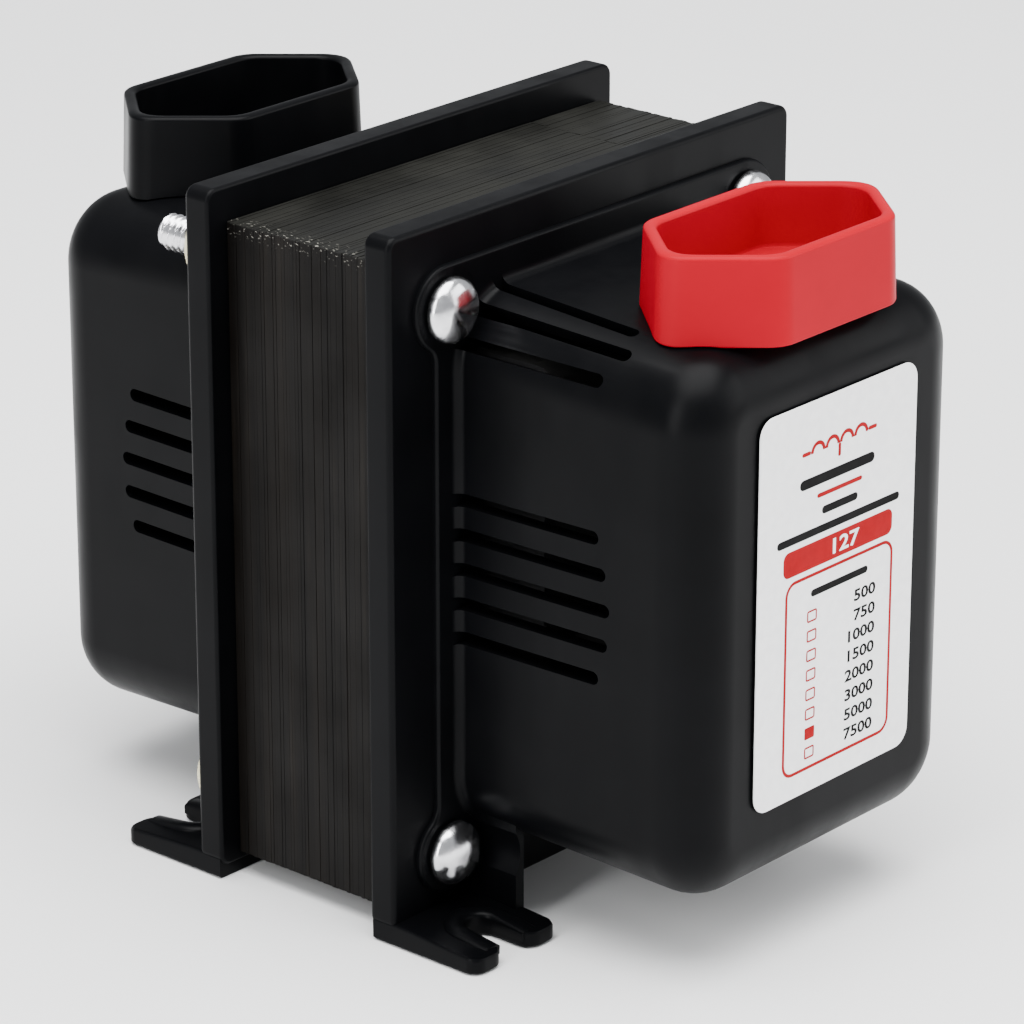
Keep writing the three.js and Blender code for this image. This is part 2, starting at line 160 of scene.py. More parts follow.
def outward(obj):
    """Turns all faces outwards and merges doubled vertices."""
    bm = bmesh.new()
    bm.from_mesh(obj.data)
    bmesh.ops.remove_doubles(bm, verts=bm.verts, dist=1e-7)
    bmesh.ops.recalc_face_normals(bm, faces=bm.faces)
    bm.to_mesh(obj.data)
    bm.free()
    return obj


def loft(name, rings, cyclic=False):
    """Closed body through rings of equal length; the ends are capped unless the rings are cyclic."""
    count = len(rings[0])
    verts = [point for ring in rings for point in ring]
    faces = []
    spans = len(rings) if cyclic else len(rings) - 1
    for r in range(spans):
        low = r * count
        high = ((r + 1) % len(rings)) * count
        for i in range(count):
            j = (i + 1) % count
            faces.append((low + i, low + j, high + j, high + i))
    if not cyclic:
        faces.append(tuple(range(count)))
        faces.append(tuple(range(len(verts) - count, len(verts))))
    return outward(new_object(name, verts, faces))


def bake_modifiers(obj):
    """Replaces the mesh by its evaluated shape."""
    graph = bpy.context.evaluated_depsgraph_get()
    mesh = bpy.data.meshes.new_from_object(obj.evaluated_get(graph))
    obj.modifiers.clear()
    obj.data = mesh
    return obj


def boolean(obj, others, operation):
    for other in others:
        modifier = obj.modifiers.new("bool", "BOOLEAN")
        modifier.operation = operation
        modifier.solver = "MANIFOLD"
        modifier.object = other
        bake_modifiers(obj)
        bpy.data.objects.remove(other)
    return obj


def soften(obj, degrees=32):
    """Smooth shading with sharp edges kept, and flat faces kept flat."""
    obj.data.shade_smooth()
    obj.data.set_sharp_from_angle(angle=math.radians(degrees))
    modifier = obj.modifiers.new("normals", "WEIGHTED_NORMAL")
    modifier.keep_sharp = True
    modifier.weight = 100
    return bake_modifiers(obj)


def bevel_where(obj, test, width, segments=3):
    """Rounds the edges whose two ends both pass the test, which gets millimetres."""
    bm = bmesh.new()
    bm.from_mesh(obj.data)
    edges = [e for e in bm.edges if all(test(v.co / MM) for v in e.verts)
             and e.calc_face_angle(0) > math.radians(40)]
    bmesh.ops.bevel(bm, geom=edges, offset=width * MM, offset_type="OFFSET", segments=segments,
                    profile=0.5, affect="EDGES", clamp_overlap=True)
    bm.to_mesh(obj.data)
    bm.free()
    return obj


def arc(cx, cy, radius, start, end, steps):
    """Points on an arc, in degrees."""
    points = []
    for i in range(steps + 1):
        angle = math.radians(start + (end - start) * i / steps)
        points.append((cx + radius * math.cos(angle), cy + radius * math.sin(angle)))
    return points


def round_rect(x0, x1, z0, z1, radius, steps=8):
    """Anticlockwise rounded rectangle, from the right end of its base."""
    return (arc(x1 - radius, z0 + radius, radius, -90, 0, steps)
            + arc(x1 - radius, z1 - radius, radius, 0, 90, steps)
            + arc(x0 + radius, z1 - radius, radius, 90, 180, steps)
            + arc(x0 + radius, z0 + radius, radius, 180, 270, steps))


def rounded_polygon(corners, radii, steps=8):
    """Polygon with each corner eased off by a curve that starts at its distance from the corner."""
    points = []
    count = len(corners)
    for i, corner in enumerate(corners):
        here = Vector(corner)
        before = (Vector(corners[i - 1]) - here).normalized() * radii[i]
        after = (Vector(corners[(i + 1) % count]) - here).normalized() * radii[i]
        if radii[i] == 0:
            points.append(here)
            continue
        for k in range(steps + 1):
            t = k / steps
            points.append(here + before * (1 - t) ** 2 + after * t ** 2)
    return points


def at_y(points, y):
    return [(x, y, z) for x, z in points]


def at_z(points, z):
    return [(x, y, z) for x, y in points]


def rounded_steps(radius, steps=4):
    """(advance, inset) pairs around a quarter round that ends on the full outline."""
    pairs = []
    for k in range(steps + 1):
        angle = math.radians(90 * k / steps)
        pairs.append((radius * (1 - math.cos(angle)), radius * (1 - math.sin(angle))))
    return pairs


def slab_y(name, outline, y0, y1, edge0=0.0, edge1=0.0):
    """Body between y0 and y1; outline(inset) gives its XZ points and each end may be rounded."""
    square = [(0, 0)]
    start = rounded_steps(edge0) if edge0 else square
    finish = rounded_steps(edge1) if edge1 else square
    rings = [at_y(outline(inset), y0 + advance) for advance, inset in start]
    rings += [at_y(outline(inset), y1 - advance) for advance, inset in reversed(finish)]
    return loft(name, rings)


def turned(obj, matrix):
    obj.data.transform(matrix)
    return obj


# ---- covers ---------------------------------------------------------------------------------


def ledge_outline(inset):
    """Raised step around the bell: straight sides that run into a lobe at each bolt."""
    lobe = LOBE_RADIUS - inset
    fillet = 2.4 + inset
    side = LEDGE_HALF - inset
    base = LEDGE_BASE + inset
    upper = BOLT_MID + BOLT_Z
    lower = BOLT_MID - BOLT_Z
    reach = lobe + fillet
    side_dx = side + fillet - BOLT_X
    side_dz = math.sqrt(reach ** 2 - side_dx ** 2)
    side_angle = math.degrees(math.atan2(side_dz, side_dx))
    base_dz = lower - (base - fillet)
    base_dx = math.sqrt(reach ** 2 - base_dz ** 2)
    base_angle = math.degrees(math.atan2(base_dz, base_dx))
    right = arc(BOLT_X - base_dx, base - fillet, fillet, 90, base_angle, 4)
    right += arc(BOLT_X, lower, lobe, 180 + base_angle, 360 + side_angle, 26)
    right += arc(BOLT_X + side_dx, lower + side_dz, fillet, 180 + side_angle, 180, 4)
    right += arc(BOLT_X + side_dx, upper - side_dz, fillet, 180, 180 - side_angle, 4)
    right += arc(BOLT_X, upper, lobe, -side_angle, 90, 16)
    left = [(-x, z) for x, z in reversed(right)]
    return right + left


def bell_ring(y, inset, radius, drop, steps=14):
    """Section of the bell; the drafts on top and base apply in full at drop = 1."""
    half = BELL_HALF - inset
    base = BELL_BASE + inset - drop * BELL_BASE_DRAFT
    top = BELL_TOP - inset - drop * BELL_TOP_DRAFT
    return at_y(round_rect(-half, half, base, top, radius, steps), -y)


def bell_body(name, root, end, inset, fillet=0.0):
    """Bell as a drafted loft with a rounded end; the fillet runs it out on to the ledge."""
    end_radius = BELL_END_RADIUS - inset
    straight = end - end_radius
    corner = BELL_CORNER - inset
    steps = 14
    rings = [bell_ring(root, inset - fillet, corner + fillet, 0)]
    for k in range(7 if fillet else 0):
        angle = math.radians(90 * k / 6)
        flare = fillet * (1 - math.sin(angle))
        y = LEDGE_FACE + fillet * (1 - math.cos(angle))
        rings.append(bell_ring(y, inset - flare, corner + flare, 0))
    drafted = inset + BELL_DRAFT
    rings.append(bell_ring(straight, drafted, corner, 1))
    for k in range(1, steps + 1):
        angle = math.radians(90 * k / steps)
        pull = end_radius * (1 - math.cos(angle))
        y = straight + end_radius * math.sin(angle)
        rings.append(bell_ring(y, drafted + pull, corner - pull, 1))
    return loft(name, rings)


def foot_height(y):
    """The foot thins a little from the flange to its tips."""
    return FOOT_THICK - 0.8 * max(0, (-FLANGE_OUTER - y) / (FOOT_REACH - FLANGE_OUTER))


def foot_body(side):
    """Slotted foot with a soft raised rim that follows the open slot."""
    mid = side * (FLANGE_HALF - FOOT_WIDTH / 2)
    half = FOOT_WIDTH / 2
    slot = FOOT_SLOT / 2
    tine = half - slot
    root = -FOOT_SLOT_ROOT - slot
    right = [(half, -FLANGE_INNER - 0.4), (half, -FLANGE_OUTER - 2)]
    right += arc(half - 1.8, -FOOT_REACH + 1.8, 1.8, 0, -90, 6)
    right += arc(slot + 2, -FOOT_REACH + 2, 2, -90, -180, 7)
    right += arc(0, root, slot, 0, 80, 8)
    outline = right + [(-x, y) for x, y in reversed(right)]

    def ring(inset, lift, z_low=None):
        points = []
        for x, y in outline:
            near = abs(x) < slot + 0.05 or (abs(x) < half - 1 and y < -FOOT_REACH + 2.1)
            px = x
            if inset:
                px = x + inset * (1 if x > 0 else -1) * (1 if near and abs(x) < tine else -1)
            z = z_low if z_low is not None else foot_height(y) + lift
            points.append((mid + px, y + (inset if y < -FOOT_REACH + 1 else 0), z))
        return points

    upper = [ring(0, -0.45), ring(0.14, -0.14), ring(0.45, 0)]
    foot = loft("foot", [ring(0.3, 0, 0), ring(0, 0, 0.3)] + upper)
    path = [(slot + 1.15, -FOOT_REACH + 1.1)] + arc(0, root, slot + 1.15, 0, 180, 24)
    path.append((-slot - 1.15, -FOOT_REACH + 1.1))
    sections = []
    for i, (x, y) in enumerate(path):
        ahead = Vector(path[min(i + 1, len(path) - 1)]) - Vector(path[max(i - 1, 0)])
        across = Vector((ahead.y, -ahead.x)).normalized()
        fade = 0.25 if i in (0, len(path) - 1) else 1.0
        section = []
        for k in range(11):
            angle = math.radians(180 * k / 10)
            offset = 1.35 * math.cos(angle)
            z = foot_height(y) - 0.3 + (0.3 + 0.62 * fade) * math.sin(angle) ** 0.7
            section.append((mid + x + across.x * offset, y + across.y * offset, z))
        for way in (-1.3, 1.3):
            section.append((mid + x + across.x * way, y + across.y * way, 1))
        sections.append(section)
    return [foot, loft("rim", sections)]


def gusset_body(side):
    root = -FLANGE_INNER - 1
    corners = [(root, 1), (-GUSSET_REACH, 1), (-GUSSET_REACH, GUSSET_TOP), (root, GUSSET_TOP)]
    profile = rounded_polygon(corners, [0, 0, 1.2, 0])
    inner = side * (FLANGE_HALF - FOOT_WIDTH + 0.06)
    outer = inner + side * GUSSET_THICK
    body = loft("gusset", [[(inner, y, z) for y, z in profile], [(outer, y, z) for y, z in profile]])
    return bevel_where(body, lambda v: v.y < -FLANGE_OUTER and v.z > 2, 0.4, 3)


def vent_cutter(end, x0, x1):
    """Slot from the ledge to a round end, level with z = 0."""
    half = VENT_WIDTH / 2
    points = [(-LEDGE_FACE, half), (-LEDGE_FACE, -half)]
    points += [(-end + half - y, -z) for y, z in arc(0, 0, half, 90, -90, 10)]
    return loft("vent", [[(x0, y, z) for y, z in points], [(x1, y, z) for y, z in points]])


def vent_cutters(upper):
    """Five side slots on each side and, if upper, three more round each upper edge."""
    cutters = []
    for side in (-1, 1):
        for row, end in enumerate(VENT_ENDS):
            cutter = vent_cutter(end, side * (BELL_HALF - WALL - 3), side * (BELL_HALF + 2))
            level = VENT_MID_Z + (row - 2) * VENT_PITCH
            cutters.append(turned(cutter, Matrix.Translation((0, 0, level * MM))))
        for degrees, end in UPPER_VENTS if upper else ():
            cutter = vent_cutter(end, BELL_CORNER - WALL - 2.5, BELL_CORNER + 3)
            turn = math.radians(degrees if side > 0 else 180 - degrees)
            centre = Vector((side * (BELL_HALF - BELL_CORNER), 0, BELL_TOP - BELL_CORNER)) * MM
            cutters.append(turned(cutter, Matrix.Translation(centre) @ Matrix.Rotation(-turn, 4, "Y")))
    return cutters


def bolt_stations():
    return [(sx * BOLT_X, BOLT_MID + sz * BOLT_Z) for sx in (-1, 1) for sz in (-1, 1)]


def bolt_cutter(x, z):
    """Bolt hole, with the wider scallop that clears head or nut in front of the ledge."""
    profile = [(RELIEF_RADIUS, -BELL_END - 1), (RELIEF_RADIUS, -LEDGE_FACE + 0.03),
               (HOLE_RADIUS, -LEDGE_FACE + 0.03), (HOLE_RADIUS, -FLANGE_INNER + 3)]
    return loft("bolt_cutter", [at_y(arc(x, z, radius, 3, 357, 59), y) for radius, y in profile])


def cover_body(end):
    """Front cover or, before its half turn, rear cover: one moulding with all its openings."""
    flange = slab_y(
        f"{end}_cover_moulding",
        lambda inset: round_rect(-FLANGE_HALF + inset, FLANGE_HALF - inset, FLANGE_BASE + inset,
                                 FLANGE_TOP - inset, 1.6 - inset * 0.9),
        -FLANGE_OUTER, -FLANGE_INNER, 0.7, 0.5)
    ledge = slab_y("ledge", ledge_outline, -LEDGE_FACE, -FLANGE_INNER - 1, 0.45)
    bell = bell_body("bell", FLANGE_INNER + 1, BELL_END, 0, BELL_FILLET)
    parts = [ledge, bell]
    for side in (-1, 1):
        parts += foot_body(side)
        parts.append(gusset_body(side))
    boolean(flange, parts, "UNION")
    tools = [bell_body("cavity", FLANGE_INNER - 1, BELL_END - WALL, WALL)]
    tools += [bolt_cutter(x, z) for x, z in bolt_stations()]
    tools.append(loft("neck_hole", [neck(NECK_GAP, BELL_TOP - 8), neck(NECK_GAP, BELL_TOP + 4)]))
    tools += vent_cutters(end == "front")
    boolean(flange, tools, "DIFFERENCE")
    return flange


# ---- sockets ----------------------------------------------------------------------------------


def hexagon(inset, z, steps=8):
    """Ring of the shroud's outline: long sides along X and a rounded point at each end."""
    half_length = SHROUD_HALF_LENGTH - 1.2 * inset
    half_width = SHROUD_HALF_WIDTH - inset
    flat = SHROUD_FLAT_HALF - 0.3 * inset
    return hexagon_ring(half_length, half_width, flat, 3.5, 2, z, steps)


def neck(grow, z, steps=8):
    """Ring of the neck's outline, below the shroud."""
    return hexagon_ring(NECK_HALF_LENGTH + grow, NECK_HALF_WIDTH + grow, NECK_FLAT_HALF, 3, 2, z, steps)


def hexagon_ring(half_length, half_width, flat, tip, corner, z, steps):
    y = -SOCKET_Y
    corners = [(flat, y + half_width), (-flat, y + half_width), (-half_length, y),
               (-flat, y - half_width), (flat, y - half_width), (half_length, y)]
    radii = [corner, corner, tip, corner, corner, tip]
    return at_z(rounded_polygon(corners, radii, steps), z)


def socket_body(end):
    """One moulding: flared shroud with a rounded rim, floor with three pin holes and a hollow neck."""
    rim = SHROUD_WALL / 2
    rings = [hexagon(SHROUD_WALL + 0.7, WELL_FLOOR), hexagon(SHROUD_WALL + 0.2, WELL_FLOOR + 0.15)]
    rings.append(hexagon(SHROUD_WALL, WELL_FLOOR + 0.6))
    for k in range(9):
        angle = math.radians(180 * k / 8)
        height = SHROUD_TOP - rim * 0.55 * (1 - math.sin(angle))
        rings.append(hexagon(0.25 + rim + (rim - 0.125) * math.cos(angle), height))
    rings += [hexagon(0, SKIRT_BASE + 0.3), hexagon(0.1, SKIRT_BASE + 0.08), hexagon(0.35, SKIRT_BASE)]
    body = loft(f"{end}_socket_moulding", rings)
    boolean(body, [bell_body("seat", FLANGE_INNER + 1, BELL_END + NECK_GAP, -NECK_GAP)], "DIFFERENCE")
    stem = loft("stem", [neck(0, NECK_BASE), neck(0, WELL_FLOOR - 0.5)])
    boolean(body, [stem], "UNION")
    chamber = loft("chamber", [neck(-NECK_WALL, NECK_BASE - 1), neck(-NECK_WALL, NECK_CEILING)])
    boolean(body, [chamber], "DIFFERENCE")
    holes = []
    for x, y in ((-PIN_X, 0), (PIN_X, 0), (0, EARTH_OFFSET)):
        circle = arc(x, y - SOCKET_Y, PIN_HOLE, 0, 352.5, 47)
        wide = arc(x, y - SOCKET_Y, PIN_HOLE + 0.5, 0, 352.5, 47)
        holes.append(loft("pin", [at_z(circle, NECK_CEILING - 1), at_z(circle, WELL_FLOOR - 0.5),
                                  at_z(wide, WELL_FLOOR + 0.02), at_z(wide, WELL_FLOOR + 1)]))
    return boolean(body, holes, "DIFFERENCE")


# ---- lamination core ----------------------------------------------------------------------------


def e_sheet():
    low, high = BOLT_MID - BOLT_Z, BOLT_MID + BOLT_Z
    left = -CORE_HALF_WIDTH
    points = [(left, CORE_BASE)]
    for z0 in (CORE_BASE + LEG, CORE_MID + TONGUE / 2):
        arm = LEG if z0 < CORE_MID else TONGUE
        points += [(YOKE_X, z0 - arm), (YOKE_X, z0), (-WINDOW_X, z0), (-WINDOW_X, z0 + LEG)]
    points += [(YOKE_X, CORE_TOP - LEG), (YOKE_X, CORE_TOP), (left, CORE_TOP)]
    for z in (high, low):
        points += [(left, z)] + arc(-BOLT_X, z, HOLE_RADIUS, 180, -180, 18) + [(left, z)]
    return points


def i_sheet():
    low, high = BOLT_MID - BOLT_Z, BOLT_MID + BOLT_Z
    right = CORE_HALF_WIDTH
    points = [(i_low.x, CORE_TOP), (i_low.x, CORE_BASE), (right, CORE_BASE)]
    for z in (low, high):
        points += [(right, z)] + arc(BOLT_X, z, HOLE_RADIUS, 0, 360, 18) + [(right, z)]
    points.append((right, CORE_TOP))
    return points


def sheet_stack(name, outline, seed):
    """Fifty punched sheets, each a little out of line with the next, over a varnish-filled middle."""
    shuffle = random.Random(seed)
    pitch = 2 * STACK_HALF / SHEETS
    middle = STACK_HALF - 0.05
    layers = [(-middle, middle, 1.6 * SHEET_SHIFT, 1.6 * SHEET_SHIFT)]
    for k in range(SHEETS):
        y0 = -STACK_HALF + k * pitch + SHEET_INSET
        narrow = shuffle.uniform(0, 0.9 * SHEET_SHIFT)
        layers.append((y0, y0 + pitch - SHEET_GAP, narrow, shuffle.uniform(0, SHEET_SHIFT)))
    verts = []
    faces = []
    for y0, y1, narrow, short in layers:
        sheet = []
        for x, z in outline:
            trim = math.copysign(narrow, x) if abs(x) > 30 else 0
            sheet.append((x - trim, z - math.copysign(short, z - CORE_MID)))
        n = len(sheet)
        base = len(verts)
        verts += at_y(sheet, y0) + at_y(sheet, y1)
        faces.append(tuple(range(base, base + n)))
        faces.append(tuple(range(base + 2 * n - 1, base + n - 1, -1)))
        for i in range(n):
            j = (i + 1) % n
            faces.append((base + i, base + n + i, base + n + j, base + j))
    mesh_object = new_object(name, verts, faces)
    bm = bmesh.new()
    bm.from_mesh(mesh_object.data)
    bmesh.ops.recalc_face_normals(bm, faces=bm.faces)
    bm.to_mesh(mesh_object.data)
    bm.free()
    return mesh_object


# ---- fasteners --------------------------------------------------------------------------------------


def bolt_body(name, x, z, tip):
    """Domed bolt; its far end carries a real helical thread."""
    seat = -LEDGE_FACE - 0.3
    top = bolt_low.y
    height = seat - top
    profile = []
    for k in range(13):
        angle = math.radians(90 * k / 12)
        profile.append((HEAD_RADIUS * math.sin(angle), seat - 0.45 - (height - 0.45) * math.cos(angle)))
    profile += [(HEAD_RADIUS, seat - 0.1), (HEAD_RADIUS - 0.1, seat)]
    profile += [(BOLT_RADIUS, seat), (BOLT_RADIUS, 12)]
    steps = 40
    rings = []
    for radius, y in profile:
        rings.append(at_y(arc(x, z, max(radius, 0.01), 0, 360 - 360 / steps, steps - 1), y))
    slices = 130
    for k in range(slices + 1):
        y = THREAD_START + (tip - THREAD_START) * k / slices
        ring = []
        for i in range(steps):
            turn = i / steps
            phase = (y / THREAD_PITCH - turn) % 1
            groove = THREAD_DEPTH * (1 - abs(2 * phase - 1))
            taper = max(0, y - tip + 0.7)
            radius = max(BOLT_RADIUS - groove - taper * 0.8, THREAD_CORE)
            angle = 2 * math.pi * turn
            ring.append((x + radius * math.cos(angle), y, z + radius * math.sin(angle)))
        rings.append(ring)
    return loft(name, rings)


def washer_body(name, x, z, low, high):
    """Split spring washer drawn closed, with eased edges."""
    inner, outer, ease = 2.7, (high.x - low.x) / 2, 0.18
    y0, y1 = low.y, high.y
    profile = [(inner, y0 + ease), (inner + ease, y0), (outer - ease, y0), (outer, y0 + ease),
               (outer, y1 - ease), (outer - ease, y1), (inner + ease, y1), (inner, y1 - ease)]
    rings = [at_y(arc(x, z, radius, 0, 352.5, 47), y) for radius, y in profile]
    return loft(name, rings, cyclic=True)


def nut_body(name, x, z, low, high):
    """Hexagon nut with chamfered corners and a chamfered bore."""
    flats = (high.x - low.x) / 2
    y0, y1 = low.y, high.y
    height = y1 - y0
    steps = 60
    corner = flats / math.cos(math.radians(30))

    def hexagon_radius(i):
        angle = math.radians(360 * i / steps)
        sector = (angle + math.radians(30)) % math.radians(60) - math.radians(30)
        return flats / math.cos(sector)

    def ring(y, limit):
        points = []
        for i in range(steps):
            radius = min(hexagon_radius(i), limit)
            angle = math.radians(360 * i / steps)
            points.append((x + radius * math.cos(angle), y, z + radius * math.sin(angle)))
        return points

    rings = []
    for depth in (0.0, 0.12, 0.28, 0.5):
        rings.append(ring(y0 + depth, flats + (corner - flats) * depth / 0.5))
    for depth in (0.5, 0.28, 0.12, 0.0):
        rings.append(ring(y1 - depth, flats + (corner - flats) * depth / 0.5))
    for radius, y in ((3.0, y1), (2.7, y1 - 0.3), (2.7, y0 + 0.3), (3.0, y0)):
        rings.append(at_y(arc(x, z, radius, 0, 354, steps - 1), y))
    return loft(name, rings, cyclic=True)


# ---- rating label -----------------------------------------------------------------------------------

FILM_FACE = label_low.y + 0.08
INK = 0.03
NUMERAL_STRETCH = 1.4
FONT_SIZE_PER_HEIGHT = 1.38


def print_plate(name, shapes):
    """Thin raised print: each shape is a closed outline in the label's XZ plane."""
    verts = []
    faces = []
    for shape in shapes:
        base = len(verts)
        n = len(shape)
        verts += at_y(shape, FILM_FACE + 0.01) + at_y(shape, FILM_FACE - INK)
        faces.append(tuple(range(base, base + n)))
        faces.append(tuple(range(base + n, base + 2 * n)))
        for i in range(n):
            j = (i + 1) % n
            faces.append((base + i, base + j, base + n + j, base + n + i))
    return outward(new_object(name, verts, faces))


def bar(x, z, length, height):
    """Bar with round ends, from x on, centred on z: stands for a word of print."""
    r = height / 2
    return arc(x + length - r, z, r, -90, 90, 6) + arc(x + r, z, r, 90, 270, 6)


def frame_shapes(x0, x1, z0, z1, radius, width):
    """Rounded frame made of two C-shaped halves."""
    halves = []
    mid = (x0 + x1) / 2
    for side in (-1, 1):
        edge = x1 if side > 0 else x0
        outer = (arc(edge - side * radius, z0 + radius, radius, -90, 0, 6)
                 + arc(edge - side * radius, z1 - radius, radius, 0, 90, 6))
        inner_radius = radius - width
        inner = (arc(edge - side * radius, z1 - radius, inner_radius, 90, 0, 6)
                 + arc(edge - side * radius, z0 + radius, inner_radius, 0, -90, 6))
        if side < 0:
            centre = edge + radius
            outer = [(2 * centre - x, z) for x, z in outer]
            inner = [(2 * centre - x, z) for x, z in inner]
        halves.append([(mid, z0)] + outer + [(mid, z1), (mid, z1 - width)] + inner + [(mid, z0 + width)])
    return halves


def coil_mark(x, z, bumps, radius, width):
    """Row of half rings: the usual symbol for a winding."""
    shapes = []
    for k in range(bumps):
        cx = x + (2 * k + 1) * (radius + width / 2)
        outer = arc(cx, z, radius + width / 2, 0, 180, 12)
        shapes.append(outer + arc(cx, z, radius - width / 2, 180, 0, 12))
    return shapes


def numerals(texts):
    """Raised numerals as one mesh; texts holds (text, right end, base line, height)."""
    meshes = []
    for text, right, base, height in texts:
        curve = bpy.data.curves.new("numerals", "FONT")
        curve.body = text
        curve.size = height * FONT_SIZE_PER_HEIGHT * MM
        curve.align_x = "RIGHT"
        curve.extrude = 0.02 * MM
        curve.offset = 0.05 * MM
        curve.resolution_u = 3
        obj = bpy.data.objects.new("numerals", curve)
        bpy.context.collection.objects.link(obj)
        graph = bpy.context.evaluated_depsgraph_get()
        mesh = bpy.data.meshes.new_from_object(obj.evaluated_get(graph))
        bpy.data.objects.remove(obj)
        place = Matrix.Translation(Vector((right, FILM_FACE - 0.01, base)) * MM)
        widen = Matrix.Scale(NUMERAL_STRETCH, 4, Vector((1, 0, 0)))
        mesh.transform(place @ Matrix.Rotation(math.pi / 2, 4, "X") @ widen)
        meshes.append(mesh)
    bm = bmesh.new()
    for mesh in meshes:
        bm.from_mesh(mesh)
    joined = bpy.data.meshes.new("label_numerals")
    bm.to_mesh(joined)
    bm.free()
    obj = bpy.data.objects.new("label_numerals", joined)
    bpy.context.collection.objects.link(obj)
    return obj


def label_pieces():
    """Film, red print, black print, black numerals and white banner numeral."""
    x0, x1 = label_low.x, label_high.x
    z0, z1 = label_low.z, label_high.z
    film_outline = round_rect(x0, x1, z0, z1, 2.4, 8)
    eased = round_rect(x0 + 0.03, x1 - 0.03, z0 + 0.03, z1 - 0.03, 2.37, 8)
    film = loft("label_film", [at_y(film_outline, label_high.y), at_y(film_outline, FILM_FACE + 0.03),
                               at_y(eased, FILM_FACE)])
    mark_z = z1 - 6.6
    red = coil_mark(-5.6, mark_z, 4, 1.15, 0.5)
    red += [bar(-7.3, mark_z + 0.25, 1.68, 0.5), bar(5.62, mark_z + 0.25, 1.68, 0.5)]
    red.append(round_rect(-0.25, 0.25, mark_z - 1.7, mark_z - 0.03, 0.2, 3))
    red.append(bar(-4.2, z1 - 12.3, 8.8, 0.55))
    black = [bar(-7.6, z1 - 10.2, 14.6, 1.3), bar(-3.2, z1 - 14.4, 7, 1), bar(-11.8, z1 - 16.7, 24, 1)]
    banner_top = z1 - 18
    banner_base = banner_top - 3.3
    red.append(round_rect(x0 + 4.8, x1 - 4.4, banner_base, banner_top, 1.0, 6))
    panel_top = banner_base - 0.7
    panel_base = z0 + 3
    red += frame_shapes(x0 + 5.3, x1 - 4.1, panel_base, panel_top, 1.9, 0.42)
    black.append(bar(-5, panel_top - 2.6, 11.2, 0.9))
    rows = ("500", "750", "1000", "1500", "2000", "3000", "5000", "7500")
    first = panel_top - 5.5
    pitch = (first - panel_base - 2.2) / (len(rows) - 1)
    box_x = x0 + 10.6
    texts = []
    for row, text in enumerate(rows):
        z = first - row * pitch
        wide = 0.95
        tall = 0.8 * wide
        if row == len(rows) - 2:
            red.append(round_rect(box_x - wide, box_x + wide, z - tall, z + tall, 0.15, 2))
        else:
            red += frame_shapes(box_x - wide, box_x + wide, z - tall, z + tall, 0.3, 0.22)
        texts.append((text, 7.9, z - 0.68, 1.5))
    figures = numerals([("127", 4.2, (banner_top + banner_base) / 2 - 0.95, 2.0)])
    figures.name = "label_white_numerals"
    turned(figures, Matrix.Translation((0, -0.03 * MM, 0)))
    plates = print_plate("label_red_print", red), print_plate("label_black_print", black)
    return film, *plates, numerals(texts), figures


# ---- materials ---------------------------------------------------------------------------------------


class Nodes:
    """Small helper to write a node material in few lines."""

    def __init__(self, name):
        self.material = bpy.data.materials.new(name)
        self.material.use_nodes = True
        self.tree = self.material.node_tree
        self.shader = self.tree.nodes["Principled BSDF"]
        self.coords = self.add("ShaderNodeTexCoord").outputs["Object"]

    def add(self, kind, **values):
        node = self.tree.nodes.new(kind)
        for key, value in values.items():
            if hasattr(node, key):
                setattr(node, key, value)
            else:
                node.inputs[key].default_value = value
        return node

    def link(self, source, target):
        self.tree.links.new(source, target)

    def stretched(self, scale):
        mapping = self.add("ShaderNodeMapping")
        mapping.inputs["Scale"].default_value = scale
        self.link(self.coords, mapping.inputs["Vector"])
        return mapping.outputs["Vector"]

    def noise(self, scale, detail=3.0, stretch=(1, 1, 1), roughness=0.5):
        node = self.add("ShaderNodeTexNoise")
        node.inputs["Scale"].default_value = scale
        node.inputs["Detail"].default_value = detail
        node.inputs["Roughness"].default_value = roughness
        self.link(self.stretched(stretch), node.inputs["Vector"])
        return node.outputs["Fac"]

    def ramp(self, source, stops):
        node = self.add("ShaderNodeValToRGB")
        elements = node.color_ramp.elements
        while len(elements) < len(stops):
            elements.new(0.5)
        for element, (position, color) in zip(elements, stops):
            element.position = position
            element.color = (*color, 1) if len(color) == 3 else color
        self.link(source, node.inputs["Fac"])
        return node.outputs["Color"]

    def span(self, source, low, high, start=0.3, stop=0.7):
        node = self.add("ShaderNodeMapRange")
        node.inputs["From Min"].default_value = start
        node.inputs["From Max"].default_value = stop
        node.inputs["To Min"].default_value = low
        node.inputs["To Max"].default_value = high
        self.link(source, node.inputs["Value"])
        return node.outputs["Result"]

    def mix(self, factor, a, b):
        node = self.add("ShaderNodeMix", data_type="RGBA")
        self.link(factor, node.inputs["Factor"])
        for source, socket in ((a, node.inputs["A"]), (b, node.inputs["B"])):
            if isinstance(source, tuple):
                socket.default_value = (*source, 1)
            else:
                self.link(source, socket)
        return node.outputs["Result"]

    def multiply(self, a, b):
        node = self.add("ShaderNodeMath", operation="MULTIPLY")
        self.link(a, node.inputs[0])
        self.link(b, node.inputs[1])
        return node.outputs["Value"]

    def bump(self, heights):
        """heights is a list of (source, strength, distance in mm)."""
        normal = None
        for source, strength, distance in heights:
            node = self.add("ShaderNodeBump")
            node.inputs["Strength"].default_value = strength
            node.inputs["Distance"].default_value = distance * MM
            self.link(source, node.inputs["Height"])
            if normal is not None:
                self.link(normal, node.inputs["Normal"])
            normal = node.outputs["Normal"]
        self.link(normal, self.shader.inputs["Normal"])

    def finish(self, color=None, roughness=None, **fixed):
        if color is not None:
            self.link(color, self.shader.inputs["Base Color"])
        if roughness is not None:
            self.link(roughness, self.shader.inputs["Roughness"])
        for key, value in fixed.items():
            self.shader.inputs[key.replace("_", " ")].default_value = value
        return self.material


